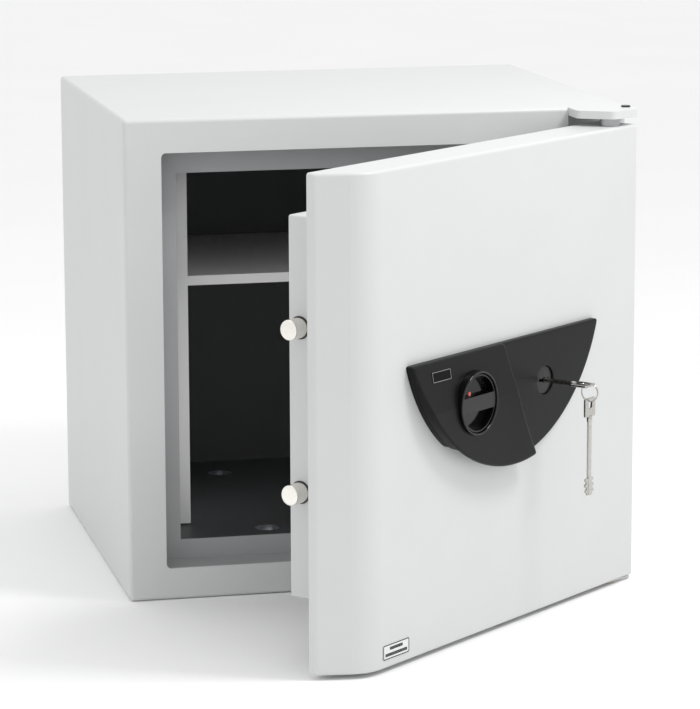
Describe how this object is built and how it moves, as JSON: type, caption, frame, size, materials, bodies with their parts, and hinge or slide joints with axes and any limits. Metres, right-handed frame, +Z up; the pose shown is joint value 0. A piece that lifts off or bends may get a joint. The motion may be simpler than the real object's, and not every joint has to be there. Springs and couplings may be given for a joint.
{
  "type": "office safe",
  "caption": "Free-standing key-lock safe with a bevelled hinged door, turning knob and pull, two throw bolts, one shelf and two keys on a ring.",
  "frame": {"origin": "middle of the underside of the case, on the surface it stands on", "axes": "+Z up, front of the case towards -Y, hinge side towards +X"},
  "size_m": [0.6607, 0.9798, 0.622],
  "materials": {
    "grey_powder_coat": "fine textured satin",
    "white_powder_coat": "satin",
    "mineral_filling": "rough cast",
    "plated_steel": "zinc plated",
    "bright_steel": "turned",
    "polished_steel": "polished",
    "bearing_brass": "turned",
    "black_plastic": "satin",
    "charcoal_plastic": "satin",
    "gloss_black": "gloss",
    "seal_strip": "matt",
    "badge_plate": "satin",
    "badge_plate_black": "satin with a bright rim",
    "red_paint": "gloss",
    "lock_black_metal": "satin",
    "nickel_plate": "polished"
  },
  "bodies": {
    "case": {"outer_shell": "grey_powder_coat", "back_panel": "grey_powder_coat", "rebate_frame": "grey_powder_coat", "inner_liner": "white_powder_coat", "case_filling": "mineral_filling", "anchor_sleeves": "plated_steel", "upper_hinge_lug": "grey_powder_coat", "lower_hinge_lug": "grey_powder_coat", "upper_hinge_pin": "bright_steel", "lower_hinge_pin": "bright_steel", "upper_collar": "bright_steel", "lower_washer": "bearing_brass", "lug_cap": "black_plastic", "left_shelf_panel": "white_powder_coat", "right_shelf_panel": "white_powder_coat", "shelf": "white_powder_coat", "shelf_clips": "plated_steel"},
    "door": {"door_skin": "grey_powder_coat", "door_filling": "mineral_filling", "door_back_plate": "grey_powder_coat", "upper_hinge_bush": "bearing_brass", "lower_hinge_bush": "bearing_brass", "fire_seal": "seal_strip", "boltwork_box": "grey_powder_coat", "box_screws": "plated_steel", "bolt_bushes": "black_plastic", "hinge_side_dogs": "bright_steel", "carriage_guides": "bright_steel", "spindle_bush": "bearing_brass", "lock_case": "plated_steel", "lock_case_lid": "plated_steel", "lock_cover": "charcoal_plastic", "grip_shell": "charcoal_plastic", "knob_bezel": "gloss_black", "door_badge": "badge_plate", "cover_badge": "badge_plate_black"},
    "knob": {"knob_dial": "gloss_black", "knob_marker": "red_paint", "knob_spindle": "bright_steel", "drive_cam": "plated_steel", "cam_pin": "bright_steel", "locking_disc": "plated_steel"},
    "boltwork": {"locking_bolts": "polished_steel", "bolt_nuts": "plated_steel", "bolt_carriage": "plated_steel"},
    "rotor": {"key_rotor": "lock_black_metal", "rotor_pin": "bright_steel"},
    "lock_bolt": {"lock_bolt": "bearing_brass"},
    "door_key": {"door_key": "nickel_plate"},
    "key_ring": {"key_ring": "nickel_plate"},
    "spare_key": {"spare_key": "nickel_plate"}
  },
  "joints": [
    {"name": "door_swing", "type": "hinge", "parent": "case", "child": "door", "pos_m": [0.292, -0.324, 0.302], "axis": [0, 0, 1], "range_deg": [-41, 139]},
    {"name": "knob_turn", "type": "hinge", "parent": "door", "child": "knob", "pos_m": [0.03428, -0.57321, 0.302], "axis": [0.6561, -0.7547, 0], "range_deg": [0, 90]},
    {"name": "bolt_throw", "type": "slide", "parent": "door", "child": "boltwork", "axis": [-0.7547, -0.6561, 0], "range_m": [0, 0.02]},
    {"name": "key_turn", "type": "hinge", "parent": "door", "child": "rotor", "pos_m": [0.16182, -0.46233, 0.302], "axis": [0.6561, -0.7547, 0], "range_deg": [0, 90]},
    {"name": "lock_bolt_slide", "type": "slide", "parent": "door", "child": "lock_bolt", "axis": [-0.7547, -0.6561, 0], "range_m": [0, 0.01]},
    {"name": "key_withdraw", "type": "slide", "parent": "rotor", "child": "door_key", "axis": [0.6561, -0.7547, 0], "range_m": [0, 0.06]},
    {"name": "ring_swing", "type": "hinge", "parent": "door_key", "child": "key_ring", "pos_m": [0.20988, -0.51762, 0.302], "axis": [-0.7547, -0.6561, 0], "range_deg": [-8, 8]},
    {"name": "spare_key_swing", "type": "hinge", "parent": "key_ring", "child": "spare_key", "pos_m": [0.20988, -0.51762, 0.2821], "axis": [0.6561, -0.7547, 0], "range_deg": [-25, 25]}
  ],
  "couplings": [
    {"joint": "knob_turn", "follows": "bolt_throw", "rad_per_m": 78.54},
    {"joint": "lock_bolt_slide", "follows": "key_turn", "m_per_rad": 0.0063662}
  ]
}
